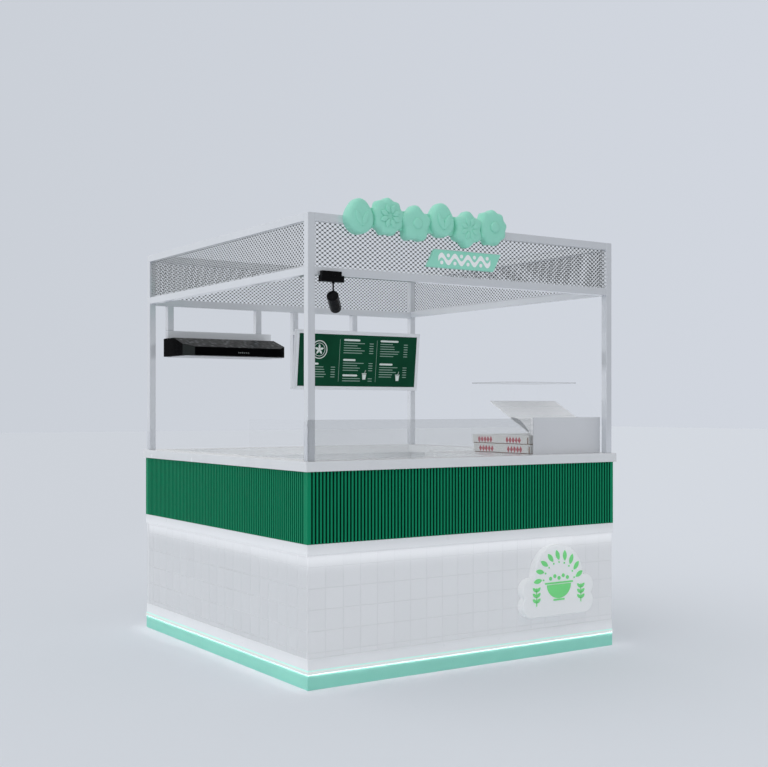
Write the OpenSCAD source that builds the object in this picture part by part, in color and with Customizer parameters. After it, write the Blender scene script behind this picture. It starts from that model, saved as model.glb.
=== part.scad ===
// Street kiosk: a square counter with tiled and fluted walls, an open post frame
// with a mesh header, and the fittings that hang from it or stand on its counter.
// Millimetres, +Z up, front towards -Y, origin at the middle of the footprint.

/* [Footprint] */
// Width of the tiled walls, left to right
kiosk_w = 2000; // [1700:10:2600]
// Depth of the tiled walls, front to back
kiosk_d = 2000; // [1700:10:2600]

/* [Base] */
// Height of the plinth
plinth_h = 95; // [60:5:150]
// How far the plinth stands out from the tiles
plinth_proud = 3; // [2:1:6]
// Height of the white strip below the tiles
base_trim_h = 55; // [30:5:80]
// How far that strip stands out from the tiles
base_trim_proud = 2; // [1:0.5:6]
// Height of the tiled field
tile_h = 500; // [350:10:650]
// Height of the white strip above the tiles
upper_trim_h = 50; // [30:5:80]
// Height of the fluted field
flute_h = 350; // [250:10:450]
// Thickness of the wall core
core_t = 28; // [20:1:60]
// Thickness of the tile cladding
cladding_t = 12; // [8:1:20]
// How far the upper strip and the fluted field stand out from the tiles
trim_proud = 6; // [5:1:12]
// Thickness of the light strips
strip_t = 4; // [2:0.5:5]
// Height of the light strip on the plinth
lower_strip_h = 14; // [8:1:20]
// Distance of that light strip below the top of the plinth
lower_strip_drop = 6; // [2:1:12]
// Height of the light strip under the upper strip
upper_strip_h = 8; // [5:1:14]

/* [Fluted field] */
// Distance from one flute to the next
flute_pitch = 20; // [14:1:40]
// Width of a rib
rib_w = 10; // [6:1:12]
// Depth of the grooves
groove_depth = 9; // [4:1:11]
// Width of the plain batten at each end of a field
end_batten = 26; // [16:1:50]

/* [Counter] */
// Thickness of the counter slab
slab_t = 50; // [30:5:80]
// How far the slab stands out from the tiles
slab_overhang = 20; // [14:1:40]
// Width of the ledge, from the tiles inwards
ledge_w = 100; // [70:5:300]
// Width of the serving bay at the front right corner
bay_w = 800; // [700:10:950]
// Depth of the serving bay
bay_d = 720; // [660:10:900]

/* [Frame] */
// Side of the square posts and rails
tube = 40; // [30:1:60]
// Clear height from the counter to the lower rails at the front and the sides
serving_h = 900; // [700:10:1200]
// Height of the header, from the bottom of the lower rails
header_h = 300; // [200:10:450]
// How much lower the back's lower rail lies
back_rail_drop = 9; // [0:1:20]
// Thickness of the mesh sheets
mesh_t = 3; // [2:0.5:6]
// How far the mesh lies behind the outer face of the rails
mesh_inset = 8; // [4:1:20]
// Openings across a mesh sheet
mesh_cols = 12; // [6:1:12]
// Openings up a mesh sheet
mesh_rows = 2; // [1:1:3]
// Width of the bars between the openings
mesh_bar = 10; // [6:1:16]

/* [Glass guard] */
// Height of the glass above the counter
guard_h = 200; // [120:5:350]
// Thickness of the glass
guard_t = 8; // [6:1:12]
// Length of the pane along the left side
guard_return = 600; // [300:10:900]
// Distance of the front pane's right end from the display case
guard_stop = 60; // [45:5:300]

/* [Display case] */
// Width of the display case between its glass ends
case_w = 500; // [480:5:560]
// Depth of the display case at its foot
case_d = 553; // [520:1:600]
// Height of the opaque front panel
case_front_h = 205; // [170:5:240]
// Overall height of the display case
case_h = 408; // [380:1:480]
// Depth of the flat top
case_top_d = 352; // [300:1:400]
// Thickness of its panes and panels
case_t = 8; // [6:1:12]
// Height of the low end of the sloping deck
deck_low = 110; // [105:1:150]
// Height of the high end of the sloping deck
deck_high = 299; // [220:1:320]
// Run of the sloping deck, front to back
deck_run = 374; // [300:1:420]
// Distance from the right edge of the tiles to the case's front panel
case_gap_right = 37; // [30:1:90]
// Distance from the front edge of the tiles to the case
case_gap_front = 55; // [45:1:90]

/* [Food boxes] */
// Width of a food box, in a display case that is 500 mm wide
box_w = 470; // [300:5:475]
// Depth of a food box
box_d = 510; // [300:5:520]
// Height of a food box
box_h = 52; // [30:1:52]
// Distance of the boxes behind the face of the case's front panel
box_setback = 45; // [40:1:120]
// How far the upper box is pushed back on the lower one
box_shift = 12; // [0:1:30]

/* [Hood] */
// Width of the extractor hood
hood_w = 700; // [600:10:750]
// Depth of the hood
hood_d = 346; // [280:2:450]
// Height of the hood's front lip
hood_lip_h = 52; // [30:1:70]
// Height of the hood at its back
hood_back_h = 113; // [80:1:160]
// Depth of the hood's flat top
hood_flat_d = 152; // [60:2:180]
// Cut at the front corners of the hood
hood_corner = 56; // [30:1:90]
// Drop from the lower rails to the top of the hood
hood_drop = 210; // [150:5:350]
// Distance from the left edge of the tiles to the hood
hood_gap_left = 108; // [60:2:200]
// Height of the rail that carries the hood
hood_rail_h = 50; // [30:2:70]
// How far that rail runs past the hood at its right end
hood_rail_over = 36; // [0:2:60]
// Distance of the hood's right hanger from the hood's right end
hood_hanger_gap = 73; // [50:1:120]

/* [Menu board] */
// Width of the board's frame on a kiosk two metres wide
menu_w = 994; // [700:2:994]
// Height of the board's frame
menu_h = 400; // [300:10:500]
// Width of the frame's border
menu_border = 25; // [15:1:50]
// Depth of the frame
menu_t = 30; // [20:1:45]
// Thickness of the green panel
panel_t = 6; // [3:1:12]
// Forward lean of the board, in degrees
menu_lean = 6; // [3:0.5:10]
// Drop from the lower rails to the top of the board
menu_drop = 117; // [80:1:250]
// Distance from the right edge of the tiles to the board
menu_gap_right = 8; // [4:1:60]

/* [Spot lamp] */
// Distance from the left edge of the tiles to the lamp's adapter
spot_gap_left = 58; // [50:1:200]
// Length of the adapter
spot_bar_l = 127; // [90:1:180]
// Diameter of the lamp's body
spot_d = 58; // [40:1:80]
// Length of the lamp's body
spot_l = 120; // [90:1:200]
// Length of the stem
spot_stem_l = 50; // [40:1:90]
// Downward aim of the lamp, in degrees
spot_aim = 27; // [20:1:60]
// Turn of the lamp to the right, in degrees
spot_swing = 40; // [0:1:60]

/* [Signs] */
// Width of the sign above the front
sign_w = 1020; // [700:10:1200]
// Height of that sign
sign_h = 215; // [195:5:260]
// Thickness of that sign
sign_t = 60; // [30:1:90]
// Distance from the left edge of the tiles to that sign
sign_gap_left = 176; // [100:2:400]
// Height of that sign's lower edge above the lower rails
sign_rise = 190; // [180:5:230]
// Width of the small slanted plate
plate_w = 486; // [250:2:500]
// Height of the small slanted plate
plate_h = 94; // [60:2:110]
// Width of the sign on the tiles
badge_w = 510; // [350:10:600]
// Height of the sign on the tiles
badge_h = 390; // [300:10:430]
// Thickness of the sign on the tiles
badge_t = 50; // [20:1:70]

/* [Hidden] */
$fn = 48;

half_w = kiosk_w / 2;
half_d = kiosk_d / 2;
base_trim_z = plinth_h;
tile_z = base_trim_z + base_trim_h;
upper_trim_z = tile_z + tile_h;
flute_z = upper_trim_z + upper_trim_h;
slab_z = flute_z + flute_h;
counter_z = slab_z + slab_t;
lower_rail_z = counter_z + serving_h;
mesh_z = lower_rail_z + tube;
top_rail_z = lower_rail_z + header_h - tube;
wall_t = core_t + cladding_t;
cover_t = cladding_t + trim_proud;
back_rail_z = lower_rail_z - back_rail_drop;
case_x = half_w - case_gap_right - case_w;
case_y = -half_d + case_gap_front;
case_slope_d = case_d - case_top_d;
layout_case_w = 500;
food_box_w = box_w + case_w - layout_case_w;
hanger_y = half_d - tube;
hanger_inset = 12;
hood_x = -half_w + hood_gap_left;
hood_y = half_d - hood_d;
hood_top_z = lower_rail_z - hood_drop;
hood_z = hood_top_z - hood_back_h;
hood_right_x = hood_x + hood_w;
filter_t = 8;
filter_margin = 20;
filter_y = filter_margin + hood_corner / 2;
filter_w = hood_w - 2 * filter_margin;
filter_d = hood_d - filter_margin - filter_y;
layout_w = 2000;
board_w = menu_w + kiosk_w - layout_w;
menu_x = half_w - menu_gap_right - board_w;
menu_hanger_gap = 20;
menu_hanger_x = max(menu_x + hanger_inset, hood_right_x + hood_rail_over + menu_hanger_gap);
menu_top_z = lower_rail_z - menu_drop;
menu_z = menu_top_z - menu_h;
menu_arm_h = 20;
menu_arm_rise = menu_h - 2 * menu_arm_h;
menu_arm_gap = 0.3;
menu_arm_l = menu_arm_rise * tan(menu_lean) - menu_arm_gap;
spot_bar_t = 34;
spot_bar_h = 31;
spot_bar_drop = 33;
spot_clip_h = 22;
spot_clip_t = 24;
spot_clip_end = 8;
spot_stem_d = 8;
spot_stem_shift = 10;
spot_x = -half_w + spot_gap_left + spot_bar_l / 2 + spot_stem_shift;
spot_y = -half_d - spot_bar_t / 2;
spot_bar_z = lower_rail_z - spot_bar_drop;
spot_z = spot_bar_z - spot_stem_l - spot_d / 2;
sign_x = -half_w + sign_gap_left;
sign_z = lower_rail_z + sign_rise;
sign_lobes = 6;
sign_overlap = 0.7;
sign_lobe_d = sign_w / (sign_lobes - sign_overlap);
sign_lobe_pitch = (sign_w - sign_lobe_d) / (sign_lobes - 1);
sign_lobe_step = sign_h - sign_lobe_d;
plate_t = 20;
plate_slant = 50;
plate_gap_left = 692;
plate_rise = 80;
badge_gap_right = 190;
badge_rise = 70;
badge_foot_h = 215;
badge_arch_d = 2 * (badge_h - badge_foot_h);
badge_ear_d = 130;

// A band that runs round the kiosk: outwards and inwards are measured from the tile faces.
module band(z, h, outwards, inwards) {
    translate([0, 0, z])
        linear_extrude(h)
            difference() {
                square([kiosk_w + 2 * outwards, kiosk_d + 2 * outwards], center = true);
                square([kiosk_w - 2 * inwards, kiosk_d - 2 * inwards], center = true);
            }
}

// A box between two corners.
module span(low, high) {
    translate(low)
        cube(high - low);
}

module front_slab(z, h, outer, inner, trim) {
    span([-half_w - trim, -half_d - outer, z], [half_w + trim, -half_d + inner, z + h]);
}

module left_slab(z, h, outer, inner, trim) {
    span([-half_w - outer, -half_d - trim, z], [-half_w + inner, half_d + trim, z + h]);
}

module to_back() {
    mirror([0, 1, 0])
        children();
}

module to_right() {
    mirror([1, 0, 0])
        children();
}

// Outline of a fluted panel seen from above: a plain back, ribs in front, battens at both ends.
function flute_count(len) = floor((len - 2 * end_batten) / flute_pitch);
function flute_margin(len) = (len - flute_count(len) * flute_pitch + flute_pitch - rib_w) / 2;
function groove_points(len, i) =
    let (
        a = flute_margin(len) + i * flute_pitch - (flute_pitch - rib_w),
        b = a + flute_pitch - rib_w
    )
    [[a, 0], [a, groove_depth], [b, groove_depth], [b, 0]];
function flute_outline(len) = concat(
    [[0, cover_t], [0, 0]],
    [for (i = [0 : flute_count(len)]) each groove_points(len, i)],
    [[len, 0], [len, cover_t]]
);

module fluted_panel(len) {
    translate([-len / 2, 0, flute_z])
        linear_extrude(flute_h)
            polygon(flute_outline(len));
}

module plinth() {
    color("mediumaquamarine")
        band(0, plinth_h, plinth_proud, wall_t);
}

module lower_light_strip() {
    color("white")
        band(
            plinth_h - lower_strip_drop - lower_strip_h,
            lower_strip_h,
            plinth_proud + strip_t,
            -plinth_proud
        );
}

module base_trim() {
    color("whitesmoke")
        band(base_trim_z, base_trim_h, base_trim_proud, cladding_t);
}

module upper_light_strip() {
    color("white")
        band(upper_trim_z - upper_strip_h, upper_strip_h, strip_t, 0);
}

module upper_trim() {
    color("whitesmoke")
        band(upper_trim_z, upper_trim_h, trim_proud, cladding_t);
}

module front_wall() {
    color("gainsboro")
        front_slab(base_trim_z, slab_z - base_trim_z, -cladding_t, wall_t, -cladding_t);
}

module back_wall() {
    color("gainsboro")
        to_back()
            front_slab(base_trim_z, slab_z - base_trim_z, -cladding_t, wall_t, -cladding_t);
}

module left_wall() {
    color("gainsboro")
        left_slab(base_trim_z, slab_z - base_trim_z, -cladding_t, wall_t, -wall_t);
}

module right_wall() {
    color("gainsboro")
        to_right()
            left_slab(base_trim_z, slab_z - base_trim_z, -cladding_t, wall_t, -wall_t);
}

module front_tiles() {
    color("white")
        front_slab(tile_z, tile_h, 0, cladding_t, 0);
}

module back_tiles() {
    color("white")
        to_back()
            front_slab(tile_z, tile_h, 0, cladding_t, 0);
}

module left_tiles() {
    color("white")
        left_slab(tile_z, tile_h, 0, cladding_t, -cladding_t);
}

module right_tiles() {
    color("white")
        to_right()
            left_slab(tile_z, tile_h, 0, cladding_t, -cladding_t);
}

module front_flutes() {
    color("seagreen")
        translate([0, -half_d - trim_proud, 0])
            fluted_panel(kiosk_w + 2 * trim_proud);
}

module back_flutes() {
    color("seagreen")
        to_back()
            translate([0, -half_d - trim_proud, 0])
                fluted_panel(kiosk_w + 2 * trim_proud);
}

module left_flutes() {
    color("seagreen")
        translate([-half_w - trim_proud, 0, 0])
            rotate([0, 0, -90])
                fluted_panel(kiosk_d - 2 * cladding_t);
}

module right_flutes() {
    color("seagreen")
        to_right()
            translate([-half_w - trim_proud, 0, 0])
                rotate([0, 0, -90])
                    fluted_panel(kiosk_d - 2 * cladding_t);
}

// The slab is a ledge round the kiosk that widens into a serving bay at the front right.
module counter_top() {
    color("white")
        translate([0, 0, slab_z])
            linear_extrude(slab_t)
                difference() {
                    square([kiosk_w + 2 * slab_overhang, kiosk_d + 2 * slab_overhang], center = true);
                    difference() {
                        square([kiosk_w - 2 * ledge_w, kiosk_d - 2 * ledge_w], center = true);
                        translate([half_w - bay_w, -half_d])
                            square([bay_w, bay_d]);
                    }
                }
}

module front_left_post() {
    color("lightgray")
        span([-half_w, -half_d, counter_z], [-half_w + tube, -half_d + tube, top_rail_z + tube]);
}

module front_right_post() {
    color("lightgray")
        to_right()
            span([-half_w, -half_d, counter_z], [-half_w + tube, -half_d + tube, top_rail_z + tube]);
}

module back_left_post() {
    color("lightgray")
        to_back()
            span([-half_w, -half_d, counter_z], [-half_w + tube, -half_d + tube, top_rail_z + tube]);
}

module back_right_post() {
    color("lightgray")
        to_right()
            to_back()
                span([-half_w, -half_d, counter_z], [-half_w + tube, -half_d + tube, top_rail_z + tube]);
}

// Four rails between the posts, the back one at a height of its own.
module rails(z, back_z) {
    front_slab(z, tube, 0, tube, -tube);
    to_back()
        front_slab(back_z, tube, 0, tube, -tube);
    for (turn = [0, 1])
        mirror([turn, 0, 0])
            left_slab(z, tube, 0, tube, -tube);
}

module lower_rails() {
    color("lightgray")
        rails(lower_rail_z, back_rail_z);
}

module top_rails() {
    color("lightgray")
        rails(top_rail_z, top_rail_z);
}

// A mesh sheet that faces the front and stands on z, with a coarse grid of openings.
module mesh_sheet(len, z) {
    h = top_rail_z - z;
    cell_w = (len - mesh_bar) / mesh_cols;
    cell_h = (h - mesh_bar) / mesh_rows;
    translate([-len / 2, mesh_inset + mesh_t, z])
        rotate([90, 0, 0])
            linear_extrude(mesh_t)
                difference() {
                    square([len, h]);
                    for (i = [0 : mesh_cols - 1])
                        for (j = [0 : mesh_rows - 1])
                            translate([mesh_bar + i * cell_w, mesh_bar + j * cell_h])
                                square([cell_w - mesh_bar, cell_h - mesh_bar]);
                }
}

module front_mesh() {
    color("silver")
        translate([0, -half_d, 0])
            mesh_sheet(kiosk_w - 2 * tube, mesh_z);
}

module back_mesh() {
    color("silver")
        to_back()
            translate([0, -half_d, 0])
                mesh_sheet(kiosk_w - 2 * tube, back_rail_z + tube);
}

module left_mesh() {
    color("silver")
        translate([-half_w, 0, 0])
            rotate([0, 0, -90])
                mesh_sheet(kiosk_d - 2 * tube, mesh_z);
}

module right_mesh() {
    color("silver")
        to_right()
            translate([-half_w, 0, 0])
                rotate([0, 0, -90])
                    mesh_sheet(kiosk_d - 2 * tube, mesh_z);
}

// The panes stand on the slab against the outer faces of the posts.
module front_glass() {
    color("lightblue", 0.4)
        span(
            [-half_w, -half_d - guard_t, counter_z],
            [case_x - case_t - guard_stop, -half_d, counter_z + guard_h]
        );
}

module left_glass() {
    color("lightblue", 0.4)
        span(
            [-half_w - guard_t, -half_d - guard_t, counter_z],
            [-half_w, -half_d + guard_return, counter_z + guard_h]
        );
}

module in_case() {
    translate([case_x, case_y, counter_z])
        children();
}

module case_front() {
    color("silver")
        in_case()
            cube([case_w, case_t, case_front_h]);
}

module case_deck() {
    color("gainsboro")
        in_case()
            translate([0, case_t, 0])
                rotate([90, 0, 90])
                    linear_extrude(case_w)
                        polygon([
                            [0, deck_low - case_t],
                            [deck_run, deck_high - case_t],
                            [deck_run, deck_high],
                            [0, deck_low]
                        ]);
}

// Outline of one glass end, seen from the left with the front at the origin.
module case_end() {
    rotate([90, 0, 90])
        linear_extrude(case_t)
            polygon([
                [0, 0],
                [case_d, 0],
                [case_d, case_h],
                [case_slope_d, case_h],
                [0, case_front_h]
            ]);
}

module case_sides() {
    color("lightblue", 0.4)
        in_case()
            for (x = [-case_t, case_w])
                translate([x, 0, 0])
                    case_end();
}

module case_top() {
    color("lightblue", 0.6)
        in_case()
            translate([0, case_slope_d, case_h - case_t])
                cube([case_w, case_top_d, case_t]);
}

module food_box(level) {
    translate([
        case_x + (case_w - food_box_w) / 2,
        case_y + box_setback + level * box_shift,
        counter_z + level * box_h
    ])
        cube([food_box_w, box_d, box_h]);
}

module lower_food_box() {
    color("white")
        food_box(0);
}

module upper_food_box() {
    color("white")
        food_box(1);
}

// The board meets its hangers at its lower edge, and an arm on each hanger reaches its back.
module menu_hanger(x) {
    span([x, hanger_y, menu_z], [x + tube, half_d, back_rail_z]);
    span(
        [x, hanger_y - menu_arm_l, menu_z + menu_arm_rise],
        [x + tube, half_d, menu_z + menu_arm_rise + menu_arm_h]
    );
}

// Two tubes carry the hood's rail and two carry the menu board, clear of that rail.
module back_hangers() {
    color("lightgray") {
        for (x = [hood_x + hanger_inset, hood_right_x - hood_hanger_gap])
            span([x, hanger_y, hood_top_z + hood_rail_h], [x + tube, half_d, back_rail_z]);
        for (x = [menu_hanger_x, menu_x + (board_w - tube) / 2])
            menu_hanger(x);
    }
}

// The rail runs from the left hanger past the hood, which hangs under it.
module hood_rail() {
    color("gainsboro")
        span(
            [hood_x + hanger_inset, hanger_y, hood_top_z],
            [hood_right_x + hood_rail_over, half_d, hood_top_z + hood_rail_h]
        );
}

// Side outline of the hood: a front lip, a sloping face and a flat top at the back.
module hood_side() {
    polygon([
        [0, 0],
        [hood_d, 0],
        [hood_d, hood_back_h],
        [hood_d - hood_flat_d, hood_back_h],
        [0, hood_lip_h]
    ]);
}

module hood_plan() {
    polygon([
        [0, hood_d],
        [0, hood_corner],
        [hood_corner, 0],
        [hood_w - hood_corner, 0],
        [hood_w, hood_corner],
        [hood_w, hood_d]
    ]);
}

module hood_body() {
    color("black")
        translate([hood_x, hood_y, hood_z])
            difference() {
                intersection() {
                    rotate([90, 0, 90])
                        linear_extrude(hood_w)
                            hood_side();
                    linear_extrude(hood_back_h)
                        hood_plan();
                }
                translate([filter_margin, filter_y, 0])
                    cube([filter_w, filter_d, filter_t]);
            }
}

module hood_filter() {
    color("silver")
        translate([hood_x + filter_margin, hood_y + filter_y, hood_z])
            cube([filter_w, filter_d, filter_t]);
}

// The board leans forward about its lower back edge.
module in_menu() {
    translate([menu_x, hanger_y, menu_z])
        rotate([menu_lean, 0, 0])
            translate([0, -menu_t, 0])
                children();
}

module menu_frame() {
    color("gainsboro")
        in_menu()
            difference() {
                cube([board_w, menu_t, menu_h]);
                translate([menu_border, 0, menu_border])
                    cube([board_w - 2 * menu_border, panel_t, menu_h - 2 * menu_border]);
            }
}

module menu_panel() {
    color("darkgreen")
        in_menu()
            translate([menu_border, 0, menu_border])
                cube([board_w - 2 * menu_border, panel_t, menu_h - 2 * menu_border]);
}

// The adapter's clip lies on the front face of the lower rail, over its bar.
module spot_adapter() {
    color("black")
        translate([-half_w + spot_gap_left, -half_d, spot_bar_z]) {
            translate([0, -spot_bar_t, 0])
                cube([spot_bar_l, spot_bar_t, spot_bar_h]);
            translate([spot_clip_end, -spot_clip_t, spot_bar_h])
                cube([spot_bar_l - 2 * spot_clip_end, spot_clip_t, spot_clip_h]);
        }
}

// The lamp points down and into the kiosk from the end of its stem.
module spot_lamp() {
    color("black")
        translate([spot_x, spot_y, spot_z]) {
            cylinder(h = spot_stem_l + spot_d / 2, d = spot_stem_d);
            rotate([-90 - spot_aim, 0, -spot_swing])
                translate([0, 0, -spot_d / 2])
                    cylinder(h = spot_l, d = spot_d);
        }
}

// A row of round lobes, alternately low and high, on a bar that joins them.
module sign_outline() {
    for (i = [0 : sign_lobes - 1])
        translate([sign_lobe_d / 2 + i * sign_lobe_pitch, sign_lobe_d / 2 + (i % 2) * sign_lobe_step])
            circle(d = sign_lobe_d);
    translate([sign_lobe_d / 2, sign_h / 2 - sign_lobe_d / 4])
        square([sign_w - sign_lobe_d, sign_lobe_d / 2]);
}

module front_sign() {
    color("mediumaquamarine")
        translate([sign_x, -half_d, sign_z])
            rotate([90, 0, 0])
                linear_extrude(sign_t)
                    sign_outline();
}

// The plate is fixed on the outer side of the mesh.
module front_plate() {
    color("mediumaquamarine")
        translate([-half_w + plate_gap_left, -half_d + mesh_inset, lower_rail_z + plate_rise])
            rotate([90, 0, 0])
                linear_extrude(plate_t)
                    polygon([
                        [0, 0],
                        [plate_w - plate_slant, 0],
                        [plate_w, plate_h],
                        [plate_slant, plate_h]
                    ]);
}

// An arch over a foot with two round ears.
module badge_outline() {
    translate([badge_w / 2, badge_foot_h])
        circle(d = badge_arch_d);
    translate([badge_ear_d / 2, 0])
        square([badge_w - badge_ear_d, badge_foot_h]);
    for (x = [badge_ear_d / 2, badge_w - badge_ear_d / 2])
        for (y = [badge_ear_d / 2, badge_foot_h - badge_ear_d / 2])
            translate([x, y])
                circle(d = badge_ear_d);
}

module tile_sign() {
    color("white")
        translate([half_w - badge_gap_right - badge_w, -half_d, tile_z + badge_rise])
            rotate([90, 0, 0])
                linear_extrude(badge_t)
                    badge_outline();
}

plinth();
lower_light_strip();
base_trim();
upper_light_strip();
upper_trim();
front_wall();
back_wall();
left_wall();
right_wall();
front_tiles();
back_tiles();
left_tiles();
right_tiles();
front_flutes();
back_flutes();
left_flutes();
right_flutes();
counter_top();
front_left_post();
front_right_post();
back_left_post();
back_right_post();
lower_rails();
top_rails();
front_mesh();
back_mesh();
left_mesh();
right_mesh();
front_glass();
left_glass();
case_front();
case_deck();
case_sides();
case_top();
lower_food_box();
upper_food_box();
back_hangers();
hood_rail();
hood_body();
hood_filter();
menu_frame();
menu_panel();
spot_adapter();
spot_lamp();
front_sign();
front_plate();
tile_sign();
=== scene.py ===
"""Looks of the street kiosk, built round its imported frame. Metres, +Z up, front towards -Y."""

import math
import random

import bmesh
import bpy
from mathutils import Matrix, Vector


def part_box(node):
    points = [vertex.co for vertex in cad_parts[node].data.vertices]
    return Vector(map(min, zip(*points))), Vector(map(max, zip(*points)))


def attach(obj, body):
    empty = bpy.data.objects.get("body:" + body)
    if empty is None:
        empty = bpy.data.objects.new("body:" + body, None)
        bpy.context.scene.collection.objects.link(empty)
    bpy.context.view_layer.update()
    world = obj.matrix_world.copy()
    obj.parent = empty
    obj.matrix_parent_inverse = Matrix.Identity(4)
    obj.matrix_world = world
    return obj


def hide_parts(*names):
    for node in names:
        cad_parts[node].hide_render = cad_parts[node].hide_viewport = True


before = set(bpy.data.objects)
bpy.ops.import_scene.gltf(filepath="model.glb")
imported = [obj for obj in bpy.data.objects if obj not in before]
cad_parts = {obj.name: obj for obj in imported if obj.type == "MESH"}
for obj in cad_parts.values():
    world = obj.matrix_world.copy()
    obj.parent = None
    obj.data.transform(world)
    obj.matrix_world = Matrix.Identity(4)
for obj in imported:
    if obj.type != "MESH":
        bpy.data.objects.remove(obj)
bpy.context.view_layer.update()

BODY = "root"

# Turn of each side about +Z, from the front
SIDES = {"front": 0.0, "right": math.pi / 2, "back": math.pi, "left": -math.pi / 2}

# The photograph's camera: place, heading, and the focal length and horizon in its pixels
IMAGE_W, IMAGE_H = 768, 767
CAMERA_AT = (-3.8358, -5.9486, 1.3562)
CAMERA_HEADING = math.radians(33.486)
FOCAL_PX = 1186.64
HORIZON_PX = 408.17
SENSOR_MM = 36.0
CLIP_END = 200.0

# Wall tiles
TILE_W = 0.100
TILE_ROW = 0.103
TILE_FIRST_JOINT = 0.027
TILE_JOINT = 0.002
TILE_RECESS = 0.0008
TILE_EDGE = 0.0012
TILE_TILT = math.radians(0.12)
TILE_SEED = 11
CORNER_STRIP_W = 0.020

# Fluted fields
FLUTE_DEPTH = 0.009

# Header mesh
DIAMOND_W = 0.029
DIAMOND_H = 0.022
STRAND_W = 0.0034
STRAND_T = 0.0009
SHORTEST_STRAND = DIAMOND_W / 8
KNOT_W = 0.0125
KNOT_H = 0.0075
KNOT_T = 0.0026

# Light strips: lamps a metre and the tint of the underside, then for each strip its body,
# the light from its underside, and the glow and colour of its face
LAMPS_PER_METRE = 60
LAMP_RIPPLE = 0.08
UNDERSIDE_TINT = (1.0, 0.70, 0.78, 1.0)
LOWER_STRIP = ((0.30, 0.33, 0.33, 1.0), 12.0, 0.50, (0.92, 0.97, 0.96, 1.0))
UPPER_STRIP = ((0.78, 0.79, 0.805, 1.0), 0.25, 0.13, (0.95, 0.97, 1.0, 1.0))

# Painted glow beside the strips: the walls, trims, plinth and white sign themselves emit the strips'
# light on them.
# Height of its middle, spread, strength, and an even painted glow over the rest
GLOW_TINT = (0.94, 0.96, 1.0, 1.0)
SIDE_TILE_GLOW = (0.628, 0.040, 0.17, 0.10)
# The front tiles and grout get a stronger even painted glow than the side ones
FRONT_TILE_GLOW = (0.628, 0.040, 0.17, 0.19)
UPPER_TRIM_GLOW = (0.640, 0.050, 0.15, 0.0)
BASE_TRIM_GLOW = (0.112, 0.050, 0.12, 0.0)
PLINTH_GLOW = (0.094, 0.013, 0.36, 0.0)
SIGN_GLOW = (0.628, 0.050, 0.06, 0.09)

# Spot lamp
LAMP_D = 0.058
LAMP_L = 0.120
LAMP_STEM = 0.050
LAMP_SHIFT = 0.010
LAMP_AIM = math.radians(27)
LAMP_SWING = math.radians(40)

# Big sign: shrink and rise of the rings of a puffed form and of its raised middle,
# and how far the bar that joins the forms stays in front of their backs
SIGN_PROFILE = ((1, 0), (1, 0.5), (0.985, 0.64), (0.945, 0.79), (0.87, 0.91), (0.75, 0.975), (0.5, 1))
BEAD_PROFILE = ((1, 0), (0.96, 0.55), (0.82, 0.85), (0.6, 1))
BAR_INSET = 0.003

# Menu sheet, from its lower left corner: left and right edge of each column, with the height and
# length of each heading and the number of rows below it
MENU_COLUMNS = (
    (0.045, 0.285, ((0.150, 0.11, 5),)),
    (0.345, 0.585, ((0.315, 0.13, 5), (0.180, 0.10, 4), (0.075, 0.12, 2))),
    (0.640, 0.870, ((0.315, 0.15, 6), (0.155, 0.11, 5))),
)
MENU_RULES = (0.315, 0.613)
MENU_RULE_W = 0.0024
MENU_HEADING_H = 0.013
MENU_ROW_H = 0.0055
MENU_ROW_PITCH = 0.0165
MENU_ROW_SHARE = (0.45, 0.72)
MENU_FIRST_ROW = 0.021
MENU_PRICE_W = 0.034
MENU_RULE_MARGIN = 0.09
MENU_CUPS = ((0.520, 0.068), (0.795, 0.062))
MENU_T = 0.006
MENU_PRINT = 0.0008
MENU_SEED = 5

# Medal on the menu sheet: its middle, radius and line of each ring, then the number, length,
# width and first turn of its leaves
MENU_MEDAL = (0.155, 0.245)
MENU_RINGS = ((0.062, 0.006), (0.045, 0.003))
MENU_STAR = (5, 0.036, 0.015, 0.3)

# A cup and its straw, about the cup's middle
CUP = ((-0.011, -0.02), (0.011, -0.02), (0.016, 0.016), (-0.016, 0.016))
STRAW = ((0.002, 0.025), (0.005, 0.025), (0.012, 0.044), (0.009, 0.044))
LID_W = 0.038
LID_H = 0.005
LID_AT = 0.021

# Edges sharper than this, in degrees, are softened and stay crisp in the shading
SHARP_EDGE = 30.0
EDGE_SEGMENTS = 2

# Corners of a CAD solid closer than this are one, and faces flatter than this are joined
WELD = 1e-6
FLAT_ANGLE = math.radians(1)


def srgb(red, green, blue):
    """A colour given as screen values up to 255, as linear light."""
    def linear(value):
        value /= 255
        return value / 12.92 if value <= 0.04045 else ((value + 0.055) / 1.055) ** 2.4
    return (linear(red), linear(green), linear(blue), 1.0)


def scaled(colour, factor):
    return tuple(min(1.0, c * factor) for c in colour[:3]) + (1.0,)


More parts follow.
